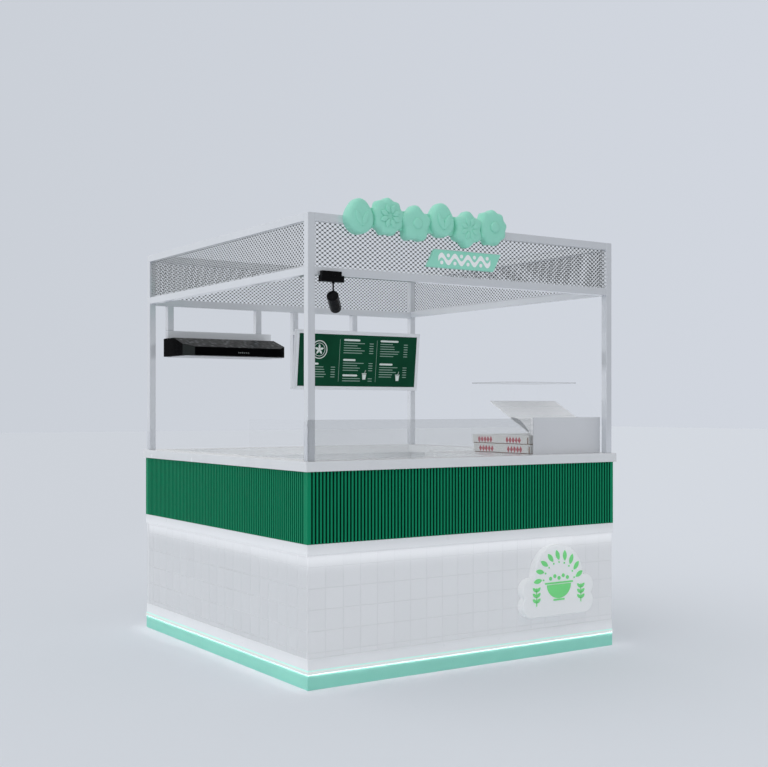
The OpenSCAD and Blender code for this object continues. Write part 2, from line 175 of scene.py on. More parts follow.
class Look:
    """A procedural material: one principled shader and the nodes that feed it."""

    def __init__(self, name):
        self.material = bpy.data.materials.new(name)
        self.material.use_nodes = True
        tree = self.material.node_tree
        self.nodes = tree.nodes
        self.links = tree.links
        self.shader = self.nodes["Principled BSDF"]
        self.place = self.node("TexCoord").outputs["Object"]

    def feed(self, socket, value):
        if isinstance(value, bpy.types.NodeSocket):
            self.links.new(value, socket)
        else:
            socket.default_value = value

    def node(self, kind, inputs=None, **settings):
        made = self.nodes.new("ShaderNode" + kind)
        for key, value in settings.items():
            setattr(made, key, value)
        for key, value in (inputs or {}).items():
            self.feed(made.inputs[key], value)
        return made

    def set(self, **values):
        for key, value in values.items():
            self.feed(self.shader.inputs[key.replace("_", " ")], value)

    def noise(self, scale, detail=3.0, place=None):
        made = self.node("TexNoise", {"Vector": place or self.place, "Scale": scale, "Detail": detail})
        return made.outputs["Fac"]

    def stretched(self, x, y, z):
        made = self.node("Mapping", {"Vector": self.place, "Scale": (x, y, z)})
        return made.outputs["Vector"]

    def ramp(self, fac, *stops):
        made = self.node("ValToRGB", {"Fac": fac})
        elements = made.color_ramp.elements
        for i, (position, colour) in enumerate(stops):
            element = elements[i] if i < 2 else elements.new(position)
            element.position = position
            element.color = colour
        return made.outputs["Color"]

    def ranged(self, value, low, high, from_low=0.3, from_high=0.7):
        made = self.node("MapRange", {
            "Value": value, "From Min": from_low, "From Max": from_high, "To Min": low, "To Max": high,
        })
        return made.outputs["Result"]

    def maths(self, operation, *values):
        made = self.node("Math", operation=operation)
        for socket, value in zip(made.inputs, values):
            self.feed(socket, value)
        return made.outputs["Value"]

    def axes(self):
        made = self.node("SeparateXYZ", {"Vector": self.place})
        return made.outputs["X"], made.outputs["Y"], made.outputs["Z"]

    def glow(self, middle, spread, strength, even_glow):
        """Painted light: the surface itself emits the light a strip throws on it, strongest at one
        height and fading up and down, over an even painted glow.
        """
        away = self.maths("DIVIDE", self.maths("SUBTRACT", self.axes()[2], middle), spread)
        bell = self.maths("EXPONENT", self.maths("MULTIPLY", self.maths("MULTIPLY", away, away), -1.0))
        level = self.maths("MULTIPLY_ADD", bell, strength, even_glow)
        self.set(Emission_Color=GLOW_TINT, Emission_Strength=level)

    def bump(self, height, distance, strength=1.0):
        made = self.node("Bump", {"Height": height, "Distance": distance, "Strength": strength})
        self.set(Normal=made.outputs["Normal"])


def paint(name, colour, rough, vary=0.04, cloud=3.0, grain=260.0, relief=0.0001, glow=None, **sockets):
    """A painted or moulded surface: its tone and gloss drift slowly, with fine grain in the relief.
    Given a glow, it also emits painted glow from the strips.
    """
    look = Look(name)
    drift = look.noise(cloud, 4.0)
    fine = look.noise(grain, 2.0)
    look.set(
        Base_Color=look.ramp(drift, (0.3, scaled(colour, 1 - vary)), (0.7, scaled(colour, 1 + vary))),
        Roughness=look.ranged(look.noise(cloud * 9, 3.0), rough * 0.85, rough * 1.2),
    )
    look.set(**sockets)
    if glow:
        look.glow(*glow)
    look.bump(fine, relief)
    return look.material


def light_strip_look(name, body, below, face, tint):
    """A frosted strip over a row of small lamps that shine from its underside."""
    look = Look(name)
    x, y, _ = look.axes()
    along = look.maths("MULTIPLY", look.maths("ADD", x, y), 2 * math.pi * LAMPS_PER_METRE)
    ripple = look.maths("MULTIPLY_ADD", look.maths("SINE", along), LAMP_RIPPLE, 1.0)
    normal = look.node("NewGeometry").outputs["Normal"]
    facing = look.node("SeparateXYZ", {"Vector": normal}).outputs["Z"]
    outwards = look.ranged(facing, 0.0, 1.0, -0.9, -0.4)
    look.set(
        Base_Color=look.ramp(look.noise(20.0), (0.3, scaled(body, 0.97)), (0.7, scaled(body, 1.03))),
        Roughness=0.5,
        Emission_Color=look.ramp(outwards, (0.0, UNDERSIDE_TINT), (1.0, tint)),
        Emission_Strength=look.maths("MULTIPLY", ripple, look.ranged(outwards, below, face, 0.0, 1.0)),
    )
    return look.material


def grout_look(name, colour, glow):
    """Rough, sandy grout, which emits painted glow from the strips."""
    return paint(name, colour, 0.9, 0.04, cloud=30.0, grain=900.0, relief=0.0004, glow=glow)


def tile_look(name, glow):
    """Glazed white tiles, each a little different, with the slow waves of poured glaze, emitting
    painted glow from the strips.
    """
    look = Look(name)
    island = look.node("NewGeometry").outputs["Random Per Island"]
    look.set(
        Base_Color=look.ramp(island, (0.0, (0.61, 0.62, 0.635, 1)), (1.0, (0.63, 0.64, 0.655, 1))),
        Roughness=look.ranged(look.noise(14.0), 0.12, 0.22),
    )
    look.glow(*glow)
    look.bump(look.noise(22.0, 2.0), 0.0004, 0.4)
    return look.material


def flute_look():
    """Green lacquer with long streaks, with painted shade that darkens it from the ribs down into the
    grooves.
    """
    look = Look("green_flutes")
    x, y, _ = look.axes()
    out = look.maths("MAXIMUM", look.maths("ABSOLUTE", x), look.maths("ABSOLUTE", y))
    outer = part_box("front_flutes")[1].x
    # Painted shade: 1 on the rib faces, falling to 0 at the bottom of the grooves, where the colour is
    # darkest
    depth = look.ranged(out, 0.0, 1.0, outer - FLUTE_DEPTH, outer - FLUTE_DEPTH * 0.15)
    streak = look.noise(5.0, 4.0, look.stretched(40.0, 40.0, 0.6))
    tone = look.maths("MULTIPLY_ADD", look.maths("SUBTRACT", streak, 0.5), 0.35, depth)
    look.set(
        Base_Color=look.ramp(
            tone,
            (0.0, (0.0008, 0.016, 0.007, 1)),
            (1.0, (0.0055, 0.265, 0.125, 1)),
            (0.55, (0.002, 0.095, 0.045, 1)),
        ),
        Roughness=look.ranged(look.noise(30.0), 0.38, 0.52),
        Specular_IOR_Level=0.06,
    )
    look.bump(look.noise(420.0, 2.0), 0.0001)
    return look.material


def stone_look():
    """Polished white stone with pale veins and fine specks."""
    look = Look("counter_stone")
    bent = look.noise(2.2, 6.0)
    vein = look.maths("ABSOLUTE", look.maths("SUBTRACT", bent, 0.5))
    speck = look.noise(700.0, 2.0)
    body = look.maths("MULTIPLY_ADD", look.maths("SUBTRACT", speck, 0.5), 0.035, vein)
    look.set(
        Base_Color=look.ramp(
            body,
            (0.0, (0.765, 0.775, 0.79, 1)),
            (0.03, (0.785, 0.795, 0.81, 1)),
            (0.3, (0.80, 0.81, 0.825, 1)),
        ),
        Roughness=look.ranged(look.noise(9.0), 0.16, 0.28),
    )
    look.bump(speck, 0.00005)
    return look.material


def card_look(name, colour):
    """Pressed card with short fibres along one way."""
    look = Look(name)
    fibre = look.noise(60.0, 5.0, look.stretched(1.0, 6.0, 14.0))
    look.set(
        Base_Color=look.ramp(fibre, (0.3, scaled(colour, 0.93)), (0.7, scaled(colour, 1.04))),
        Roughness=look.ranged(fibre, 0.65, 0.85),
    )
    look.bump(fibre, 0.0002)
    return look.material


def hood_face_look():
    """Black enamel with rows of small paler specks on the sloping face."""
    look = Look("hood_speckle")
    cells = look.node("TexVoronoi", {"Vector": look.stretched(1.0, 0.5, 1.0), "Scale": 34.0})
    look.set(
        Base_Color=look.ramp(
            cells.outputs["Distance"],
            (0.16, (0.080, 0.090, 0.093, 1)),
            (0.40, (0.0010, 0.0010, 0.0014, 1)),
        ),
        Roughness=look.ranged(look.noise(40.0), 0.3, 0.45),
        Specular_IOR_Level=0.04,
    )
    look.bump(cells.outputs["Distance"], 0.0008, 0.4)
    return look.material


def brushed_look(name, colour, **sockets):
    """Brushed sheet, drawn out from left to right."""
    look = Look(name)
    lines = look.noise(30.0, 4.0, look.stretched(1.0, 40.0, 40.0))
    look.set(
        Base_Color=look.ramp(lines, (0.3, scaled(colour, 0.92)), (0.7, scaled(colour, 1.04))),
        Roughness=look.ranged(lines, 0.28, 0.45),
    )
    look.set(**sockets)
    look.bump(lines, 0.00008)
    return look.material


def glass_look(name, film, shade=0.44):
    """Clear sheet glass: a faint grey film with smears that show only in its gloss."""
    look = Look(name)
    grey = (shade, shade * 1.03, shade * 1.05, 1.0)
    look.set(
        Base_Color=look.ramp(look.noise(4.0), (0.3, scaled(grey, 0.95)), (0.7, scaled(grey, 1.05))),
        Roughness=look.ranged(look.noise(7.0), 0.02, 0.06),
        Alpha=film,
    )
    return look.material


TRIM_WHITE = (0.80, 0.81, 0.825, 1)

LOOKS = {
    # mint_paint, upper_trim, base_trim, the tiles and grout, and sign_white emit painted glow from the
    # strips
    "mint_paint": paint(
        "mint_paint", (0.30, 0.74, 0.61, 1), 0.42, 0.03, glow=PLINTH_GLOW, Specular_IOR_Level=0.2,
    ),
    "lower_strip": light_strip_look("lower_strip", *LOWER_STRIP),
    "upper_strip": light_strip_look("upper_strip", *UPPER_STRIP),
    "white_trim": paint("white_trim", TRIM_WHITE, 0.32, 0.02),
    # upper_trim and base_trim are white_trim with painted glow from the strips
    "upper_trim": paint("upper_trim", TRIM_WHITE, 0.32, 0.02, glow=UPPER_TRIM_GLOW),
    "base_trim": paint("base_trim", TRIM_WHITE, 0.32, 0.02, glow=BASE_TRIM_GLOW),
    "wall_board": paint("wall_board", (0.76, 0.77, 0.785, 1), 0.55, 0.03),
    # Side and front tiles are one tile look with different painted glow
    "side_tile": tile_look("side_tile", SIDE_TILE_GLOW),
    "side_grout": grout_look("side_grout", (0.66, 0.67, 0.685, 1), SIDE_TILE_GLOW),
    "front_tile": tile_look("front_tile", FRONT_TILE_GLOW),
    "front_grout": grout_look("front_grout", (0.56, 0.57, 0.585, 1), FRONT_TILE_GLOW),
    "green_flutes": flute_look(),
    "counter_stone": stone_look(),
    "frame_paint": paint(
        "frame_paint", (0.715, 0.735, 0.77, 1), 0.09, 0.02, relief=0.00002, Metallic=0.25,
    ),
    "mesh_steel": paint("mesh_steel", (0.50, 0.515, 0.525, 1), 0.3, 0.1, 20.0, Metallic=0.85),
    # Knots near black: painted shade at the mesh's crossings
    "mesh_knot": paint("mesh_knot", (0.035, 0.040, 0.042, 1), 0.45, 0.1, 20.0),
    "front_glass": glass_look("front_glass", 0.19),
    "side_glass": glass_look("side_glass", 0.02),
    "case_glass": glass_look("case_glass", 0.005),
    "case_top": glass_look("case_top", 0.22, 0.25),
    "case_panel": paint("case_panel", (0.69, 0.70, 0.725, 1), 0.45, 0.02),
    "case_deck": brushed_look("case_deck", (0.92, 0.93, 0.95, 1)),
    # Dark grey cheeks at the deck's ends: painted shade
    "deck_cheek": paint("deck_cheek", (0.32, 0.33, 0.345, 1), 0.5, 0.05),
    "food_card": card_look("food_card", (0.80, 0.795, 0.78, 1)),
    # Brown card edge, also painted shade on the inset foot under each box
    "card_edge_and_shade": card_look("card_edge_and_shade", srgb(122, 84, 52)),
    "red_print": card_look("red_print", srgb(186, 40, 62)),
    "hood_black": paint(
        "hood_black", (0.0022, 0.0022, 0.0026, 1), 0.25, 0.2, relief=0.00003, Specular_IOR_Level=0.004,
    ),
    "hood_corner": paint(
        "hood_corner", (0.030, 0.034, 0.033, 1), 0.25, 0.2, relief=0.00003, Specular_IOR_Level=0.02,
    ),
    "hood_speckle": hood_face_look(),
    "filter_steel": brushed_look("filter_steel", (0.66, 0.67, 0.69, 1), Metallic=0.5),
    "menu_frame": paint("menu_frame", (0.74, 0.755, 0.785, 1), 0.35, 0.02),
    "menu_green": paint(
        "menu_green", (0.0048, 0.056, 0.027, 1), 0.5, 0.10, 5.0, Specular_IOR_Level=0.04,
    ),
    "menu_white": paint("menu_white", (0.66, 0.72, 0.69, 1), 0.6, 0.06, 40.0),
    "menu_pale": paint("menu_pale", (0.22, 0.34, 0.28, 1), 0.6, 0.08, 40.0),
    "lamp_black": paint(
        "lamp_black", (0.0025, 0.0025, 0.003, 1), 0.25, 0.2, relief=0.00004, Specular_IOR_Level=0.08,
    ),
    "lamp_lens": paint("lamp_lens", (0.75, 0.72, 0.62, 1), 0.12, 0.04),
    "sign_mint": paint("sign_mint", (0.33, 0.79, 0.62, 1), 0.4, 0.03, 6.0),
    "sign_white": paint("sign_white", (0.86, 0.87, 0.875, 1), 0.35, 0.02, glow=SIGN_GLOW),
    "sign_green": paint("sign_green", (0.22, 0.86, 0.28, 1), 0.45, 0.04, 12.0),
}


class Shape:
    """Vertices and faces gathered for one piece, with a material number for each face."""

    def __init__(self):
        self.verts = []
        self.faces = []
        self.marks = []

    def add(self, verts, faces, mark=0):
        start = len(self.verts)
        self.verts.extend(Vector(v) for v in verts)
        self.faces.extend([start + i for i in face] for face in faces)
        self.marks.extend([mark] * len(faces))

    def box(self, low, high, mark=0):
        xs, ys, zs = zip(low, high)
        verts = [(x, y, z) for x in xs for y in ys for z in zs]
        faces = [(0, 1, 3, 2), (4, 6, 7, 5), (0, 4, 5, 1), (2, 3, 7, 6), (0, 2, 6, 4), (1, 5, 7, 3)]
        self.add(verts, faces, mark)

    def stack(self, rings, mark=0):
        """Skin over rings of equally many points, with both ends capped."""
        n = len(rings[0])
        verts = [p for ring in rings for p in ring]
        faces = []
        for k in range(len(rings) - 1):
            for i in range(n):
                j = (i + 1) % n
                faces.append((k * n + i, k * n + j, (k + 1) * n + j, (k + 1) * n + i))
        faces.append(tuple(reversed(range(n))))
        faces.append(tuple(range((len(rings) - 1) * n, len(rings) * n)))
        self.add(verts, faces, mark)

    def turned(self, start, axis, profile, sides=32, mark=0):
        """A turned form: profile gives (distance along the axis, radius)."""
        start, axis = Vector(start), Vector(axis).normalized()
        across = axis.orthogonal().normalized()
        other = axis.cross(across)
        turns = [2 * math.pi * i / sides for i in range(sides)]
        spokes = [math.cos(t) * across + math.sin(t) * other for t in turns]
        self.stack([[start + axis * s + spoke * r for spoke in spokes] for s, r in profile], mark)

    def prism(self, plane, outline, low, high, mark=0):
        """An outline on a plane, raised from one height to another."""
        self.stack([[plane(u, v, h) for u, v in outline] for h in (low, high)], mark)

    def puff(self, plane, centre, outline, depth, profile):
        """An inflated form: rings of the outline shrink towards its middle as they rise."""
        u0, v0 = centre
        self.stack([
            [plane(u0 + s * u, v0 + s * v, h * depth) for u, v in outline]
            for s, h in profile
        ])


def upright(y):
    """A plane that faces the front at y: u to the right, v up, h outwards."""
    return lambda u, v, h: Vector((u, y - h, v))


def make(name, shape, looks, replaces=(), turn=0.0, bevel=0.0, smooth=SHARP_EDGE):
    """One piece from a shape, with its looks by number, riding on the kiosk."""
    spin = Matrix.Rotation(turn, 4, "Z")
    mesh = bpy.data.meshes.new(name)
    mesh.from_pydata([spin @ v for v in shape.verts], [], shape.faces)
    mesh.polygons.foreach_set("material_index", shape.marks)
    graph = bmesh.new()
    graph.from_mesh(mesh)
    bmesh.ops.recalc_face_normals(graph, faces=graph.faces)
    graph.to_mesh(mesh)
    graph.free()
    dress(name, mesh, looks, replaces, bevel, smooth)


def dress(name, mesh, looks, replaces=(), bevel=0.0, smooth=SHARP_EDGE):
    """A mesh becomes a piece, with its looks, its soft edges and its place in the frame."""
    for look in looks:
        mesh.materials.append(LOOKS[look])
    mesh.shade_smooth()
    mesh.set_sharp_from_angle(angle=math.radians(smooth))
    piece = bpy.data.objects.new(name, mesh)
    bpy.context.scene.collection.objects.link(piece)
    if bevel:
        soften = piece.modifiers.new("soft_edges", "BEVEL")
        soften.width = bevel
        soften.segments = EDGE_SEGMENTS
        soften.limit_method = "ANGLE"
        soften.angle_limit = math.radians(SHARP_EDGE)
        soften.harden_normals = True
    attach(piece, BODY)
    if replaces:
        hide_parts(*replaces)


def clean_graph(node):
    """A CAD node's solid with its split corners joined and its flat faces whole."""
    graph = bmesh.new()
    graph.from_mesh(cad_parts[node].data)
    bmesh.ops.remove_doubles(graph, verts=graph.verts, dist=WELD)
    bmesh.ops.dissolve_limit(graph, angle_limit=FLAT_ANGLE, verts=graph.verts, edges=graph.edges)
    return graph


def soft_copy(node, look, bevel):
    """A copy of a CAD node with softened edges, which stands for it."""
    graph = clean_graph(node)
    mesh = bpy.data.meshes.new(node + "_finish")
    graph.to_mesh(mesh)
    graph.free()
    dress(node + "_finish", mesh, [look], [node], bevel)


def local_box(node, side):
    """A node's box, turned so that its side of the kiosk faces the front."""
    spin = Matrix.Rotation(-SIDES[side], 4, "Z")
    corners = [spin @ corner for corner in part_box(node)]
    low = Vector([min(c[i] for c in corners) for i in range(3)])
    high = Vector([max(c[i] for c in corners) for i in range(3)])
    return low, high


def finish_plain_nodes():
    """Every node whose form is right gets softened edges and its finish."""
    # Look, slot and width of the softened edges
    plain = {
        "plinth": ("mint_paint", "mint_paint", 0.0015),
        "lower_light_strip": ("lower_strip", "light_strip", 0.0005),
        "base_trim": ("base_trim", "white_trim", 0.0012),
        "upper_light_strip": ("upper_strip", "light_strip", 0.0005),
        "upper_trim": ("upper_trim", "white_trim", 0.0015),
        "counter_top": ("counter_stone", "counter_stone", 0.003),
        "front_glass": ("front_glass", "clear_glass", 0.001),
        "left_glass": ("side_glass", "clear_glass", 0.001),
        "case_front": ("case_panel", "case_panel", 0.0015),
        "case_sides": ("case_glass", "clear_glass", 0.001),
        "case_top": ("case_top", "clear_glass", 0.001),
        "back_hangers": ("frame_paint", "frame_paint", 0.002),
        "hood_rail": ("menu_frame", "frame_paint", 0.003),
        "lower_rails": ("frame_paint", "frame_paint", 0.002),
        "top_rails": ("frame_paint", "frame_paint", 0.002),
        "menu_frame": ("menu_frame", "menu_frame", 0.002),
        "tile_sign": ("sign_white", "sign_white", 0.006),
        "front_plate": ("sign_mint", "sign_mint", 0.003),
        "spot_adapter": ("lamp_black", "lamp_black", 0.0015),
    }
    for corner in ("front_left", "front_right", "back_left", "back_right"):
        plain[corner + "_post"] = ("frame_paint", "frame_paint", 0.002)
    for side in SIDES:
        plain[side + "_wall"] = ("wall_board", "wall_board", 0.001)
        plain[side + "_flutes"] = ("green_flutes", "green_flutes", 0.0008)
    for node, (look, slot, bevel) in plain.items():
        soft_copy(node, look, bevel)


def tile_field(side, dice):
    """Square tiles on a bed of grout, with a white strip at a side wall's back corner."""
    low, high = local_box(side + "_tiles", side)
    shape = Shape()
    bed = low.y + TILE_RECESS
    shape.box((low.x, bed, low.z), (high.x, high.y, high.z), 1)
    start, stop = low.x, high.x
    if side == "left":
        start += CORNER_STRIP_W
        shape.box((low.x, low.y, low.z), (start - TILE_JOINT, bed, high.z), 2)
    if side == "right":
        stop -= CORNER_STRIP_W
        shape.box((stop + TILE_JOINT, low.y, low.z), (high.x, bed, high.z), 2)
    columns = math.floor(max(-start, stop) / TILE_W)
    uprights = [start] + [k * TILE_W for k in range(-columns, columns + 1)] + [stop]
    uprights = sorted(u for u in set(uprights) if start <= u <= stop)
    rows = math.floor((high.z - low.z - TILE_FIRST_JOINT) / TILE_ROW)
    levels = [low.z] + [low.z + TILE_FIRST_JOINT + k * TILE_ROW for k in range(rows + 1)] + [high.z]
    for left, right in zip(uprights, uprights[1:]):
        for bottom, top in zip(levels, levels[1:]):
            add_tile(shape, (left, right), (bottom, top), low.y, bed, dice)
    kind = "front" if side == "front" else "side"
    make(
        side + "_tile_field", shape, [kind + "_tile", kind + "_grout", "white_trim"],
        [side + "_tiles"], SIDES[side], smooth=20.0,
    )


def add_tile(shape, across, upwards, face, bed, dice):
    """One tile with a worn edge, set a hair out of true."""
    half_joint = TILE_JOINT / 2
    u0, u1 = across[0] + half_joint, across[1] - half_joint
    v0, v1 = upwards[0] + half_joint, upwards[1] - half_joint
    if u1 - u0 < TILE_JOINT or v1 - v0 < TILE_JOINT:
        return
    lean_u, lean_v = (dice.uniform(-TILE_TILT, TILE_TILT) for _ in range(2))

    def ring(inset, depth, leaning):
        corners = [(u0, v0), (u1, v0), (u1, v1), (u0, v1)]
        points = []
        for u, v in corners:
            u += inset if u == u0 else -inset
            v += inset if v == v0 else -inset
            off_u, off_v = u - (u0 + u1) / 2, v - (v0 + v1) / 2
            lean = leaning * (off_u * math.tan(lean_u) + off_v * math.tan(lean_v))
            points.append((u, depth + lean, v))
        return points

    shape.stack([ring(0, bed, 0), ring(0, face + TILE_EDGE, 1), ring(TILE_EDGE, face, 1)])


def mesh_panel(side):
    """A lattice of flat strands with a knot at each crossing, held between the rails; the knots are
    near black, painted shade at the crossings.
    """
    low, high = local_box(side + "_mesh", side)
    height = high.z - low.z
    run = height * DIAMOND_W / DIAMOND_H
    middle = (low.y + high.y) / 2
    slant = math.hypot(run, height)
    across = (STRAND_W / 2 * height / slant, STRAND_W / 2 * run / slant)
    count = math.ceil((high.x - low.x + run) / DIAMOND_W)
    feet = [low.x - run + (k + 0.5) * DIAMOND_W for k in range(count)]
    shape = Shape()
    for foot in feet:
        begin, end = max(foot, low.x), min(foot + run, high.x)
        if end - begin < SHORTEST_STRAND:
            continue
        ends = [(u, low.z + (u - foot) * height / run) for u in (begin, end)]
        for lean, front in ((1, middle - STRAND_T), (-1, middle)):
            add_strand(shape, ends, across, lean, front)

    def sheet(u, v, h):
        return Vector((u, middle + h, v))

    for rising in feet:
        for falling in feet:
            u = (rising - falling) / 2
            v = low.z - (rising + falling) / 2 * height / run
            inside_u = low.x + KNOT_W < u < high.x - KNOT_W
            inside_v = low.z + KNOT_H < v < high.z - KNOT_H
            if inside_u and inside_v:
                # Each knot takes mesh_knot, painted shade at the crossing
                knot = diamond(u, v, KNOT_W / 2, KNOT_H / 2)
                shape.prism(sheet, knot, -KNOT_T / 2, KNOT_T / 2, 1)
    looks = ["mesh_steel", "mesh_knot"]
    make(side + "_diamond_mesh", shape, looks, [side + "_mesh"], SIDES[side])


def add_strand(shape, ends, across, lean, front):
    """One flat strand between its ends, mirrored from left to right where lean is -1."""
    across_u, across_v = across
    back = front + STRAND_T
    rings = []
    for u, v in ends:
        (u0, v0), (u1, v1) = [(lean * (u + s * across_u), v - s * across_v) for s in (-1, 1)]
        rings.append([(u0, front, v0), (u1, front, v1), (u1, back, v1), (u0, back, v0)])
    shape.stack(rings)


# Outlines on a plane, as lists of (u, v)

def disc(u, v, radius, count=28):
    turns = [2 * math.pi * i / count for i in range(count)]
    return [(u + radius * math.cos(t), v + radius * math.sin(t)) for t in turns]


def pill(u0, u1, v, height, count=6):
    """A bar with round ends, from u0 to u1."""
    r = height / 2
    right = [(-math.pi / 2 + math.pi * i / count) for i in range(count + 1)]
    outline = [(u1 - r + r * math.cos(t), v + r * math.sin(t)) for t in right]
    outline += [(u0 + r - r * math.cos(t), v - r * math.sin(t)) for t in right]
    return outline


def block(u0, u1, v0, v1):
    return [(u0, v0), (u1, v0), (u1, v1), (u0, v1)]


def diamond(u, v, half_width, half_height):
    return [(u - half_width, v), (u, v - half_height), (u + half_width, v), (u, v + half_height)]


def leaf(u, v, length, width, turn, count=9, fullness=0.8):
    """A pointed leaf from its foot at (u, v)."""
    spine = [i / count for i in range(count + 1)]
    edge = [(s * length, width / 2 * math.sin(math.pi * s) ** fullness) for s in spine]
    flat = edge + [(s, -w) for s, w in reversed(edge[1:-1])]
    c, n = math.cos(turn), math.sin(turn)
    return [(u + s * c - w * n, v + s * n + w * c) for s, w in flat]


def polar(radius, rule, count=56):
    """A closed outline whose reach follows a rule of the angle."""
    turns = [2 * math.pi * i / count for i in range(count)]
    return [(radius * rule(t) * math.cos(t), radius * rule(t) * math.sin(t)) for t in turns]


def petals(count, depth, turn=math.pi / 2):
    """The rule of a flower's outline."""
    return lambda t: 1 - depth + depth * math.cos(count * (t - turn))


def drop(t, body=0.80, tip=0.24, sharpness=6):
    """Round below, drawn out to a tip above."""
    return body + tip * max(0.0, math.sin(t)) ** sharpness


def front_sign():
    """A row of puffy fruits, flowers and drops in place of the plain lobes."""
    low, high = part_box("front_sign")
    plane = upright(high.y)
    depth = high.y - low.y
    rules = [drop, petals(9, 0.05), petals(5, 0.10), drop, petals(6, 0.09), petals(9, 0.05)]
    lobes, overlap, step_back = len(rules), 0.7, 0.06
    radius = (high.x - low.x) / (lobes - overlap) / 2
    pitch = (high.x - low.x - 2 * radius) / (lobes - 1)
    step = high.z - low.z - 2 * radius
    shape = Shape()
    centres = []
    for i, rule in enumerate(rules):
        centre = (low.x + radius + i * pitch, low.z + radius + (i % 2) * step)
        centres.append(centre)
        shape.puff(plane, centre, polar(radius, rule), depth * (1 - step_back * (i % 2)), SIGN_PROFILE)
    bar_z, bar_front = (low.z + high.z) / 2, depth * 0.45
    shape.prism(plane, pill(centres[0][0], centres[-1][0], bar_z, radius), BAR_INSET, bar_front)
    relief_at = depth * 0.95

    def raised(u, v, h):
        return plane(u, v, relief_at + h)

    for i, (u, v) in enumerate(centres):
        sign_relief(shape, raised, u, v, radius, i % 3)
    make("front_sign_row", shape, ["sign_mint"], ["front_sign"], smooth=50.0)


def sign_relief(shape, plane, u, v, radius, kind):
    """The raised middle of one form: two leaves, fruit segments or a flower's heart."""
    rise = 0.008
    if kind == 0:
        foot, length, width, spread = radius * 0.45, radius * 0.95, radius * 0.34, 0.42
        for side in (-1, 1):
            outline = leaf(u, v - foot, length, width, math.pi / 2 + side * spread)
            mid_u = sum(p[0] for p in outline) / len(outline)
            mid_v = sum(p[1] for p in outline) / len(outline)
            around = [(a - mid_u, b - mid_v) for a, b in outline]
            shape.puff(plane, (mid_u, mid_v), around, rise, BEAD_PROFILE)
    elif kind == 1:
        segments, length, width, gap = 8, radius * 0.5, radius * 0.3, radius * 0.14
        for k in range(segments):
            turn = 2 * math.pi * (k + 0.5) / segments
            mid_u, mid_v = length / 2 * math.cos(turn), length / 2 * math.sin(turn)
            centre = (u + gap * math.cos(turn) + mid_u, v + gap * math.sin(turn) + mid_v)
            around = [(a - mid_u, b - mid_v) for a, b in leaf(0, 0, length, width, turn)]
            shape.puff(plane, centre, around, rise, BEAD_PROFILE)
    else:
        heart, heart_rise = radius * 0.3, rise * 1.4
        shape.puff(plane, (u, v), disc(0, 0, heart), heart_rise, BEAD_PROFILE)


def plate_print():
    """A white wave with dots along the slanted plate."""
    low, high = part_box("front_plate")
    plane = upright(low.y)
    middle = (low.z + high.z) / 2
    length, height = high.x - low.x, high.z - low.z
    waves, steps = 4, 64
    swing, line, dot = height * 0.20, height * 0.27, height * 0.105
    margin, dot_off = length * 0.15, swing * 1.05
    root, rise = -0.001, 0.0015
    begin, end = low.x + margin, high.x - margin
    rings = []
    for i in range(steps + 1):
        u = begin + (end - begin) * i / steps
        v = middle + swing * math.sin(2 * math.pi * waves * i / steps)
        top, foot = v + line / 2, v - line / 2
        corners = ((top, root), (foot, root), (foot, rise), (top, rise))
        rings.append([plane(u, edge, h) for edge, h in corners])
    shape = Shape()
    shape.stack(rings)
    for k in range(2 * waves):
        u = begin + (end - begin) * (k + 0.5) / (2 * waves)
        v = middle - dot_off if k % 2 == 0 else middle + dot_off
        shape.prism(plane, disc(u, v, dot), root, rise)
    make("front_plate_print", shape, ["sign_white"])


def badge_print():
    """An arch of leaves over a bowl of fruit, with sprigs at both sides."""
    low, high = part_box("tile_sign")
    plane = upright(low.y)
    width, height = high.x - low.x, high.z - low.z
    mid_u = (low.x + high.x) / 2
    rise = 0.0025
    shape = Shape()

    def stamp(outline):
        shape.prism(plane, outline, 0, rise)

    hub_v, arch, arch_start, arch_sweep = low.z + height * 0.46, width * 0.245, 0.06, 0.88
    leaves, leaf_l, leaf_w, leaf_turn = 9, width * 0.115, width * 0.052, 0.35
    berry, berry_in = 0.005, 0.012
    for k in range(leaves):
        turn = math.pi * (arch_start + arch_sweep * k / (leaves - 1))
        u, v = mid_u + arch * math.cos(turn), hub_v + arch * math.sin(turn)
        stamp(leaf(u, v, leaf_l, leaf_w, turn + leaf_turn))
        stamp(disc(u - berry_in * math.cos(turn), v - berry_in * math.sin(turn), berry, 12))
    bowl_v, bowl_w, bowl_h, points = low.z + height * 0.44, width * 0.17, width * 0.15, 20
    half = [math.pi + math.pi * i / points for i in range(points + 1)]
    stamp([(mid_u + bowl_w * math.cos(t), bowl_v + bowl_h * math.sin(t)) for t in half])
    bar = 0.009
    for reach, v in ((width * 0.2, bowl_v + bar), (width * 0.08, low.z + height * 0.225)):
        stamp(pill(mid_u - reach, mid_u + reach, v, bar))
    fruits, fruit, fruit_pitch, fruit_v, fruit_step = 5, 0.0105, width * 0.06, bowl_v + 0.034, 0.012
    for k in range(fruits):
        stamp(disc(mid_u + fruit_pitch * (k - fruits // 2), fruit_v + fruit_step * (k % 2), fruit, 16))
    stem_off, stem_w, stem_h, foot = width * 0.315, 0.005, 0.1, low.z + height * 0.16
    sprig_l, sprig_w, sprig_v, sprig_pitch, spread = 0.036, 0.017, foot + 0.018, 0.03, 0.85
    for side in (-1, 1):
        u = mid_u + side * stem_off
        stamp(block(u - stem_w / 2, u + stem_w / 2, foot, foot + stem_h))
        for k in range(3):
            for lean in (-1, 1):
                turn = math.pi / 2 + lean * spread
                stamp(leaf(u, sprig_v + sprig_pitch * k, sprig_l, sprig_w, turn))
    make("tile_sign_print", shape, ["sign_green"])


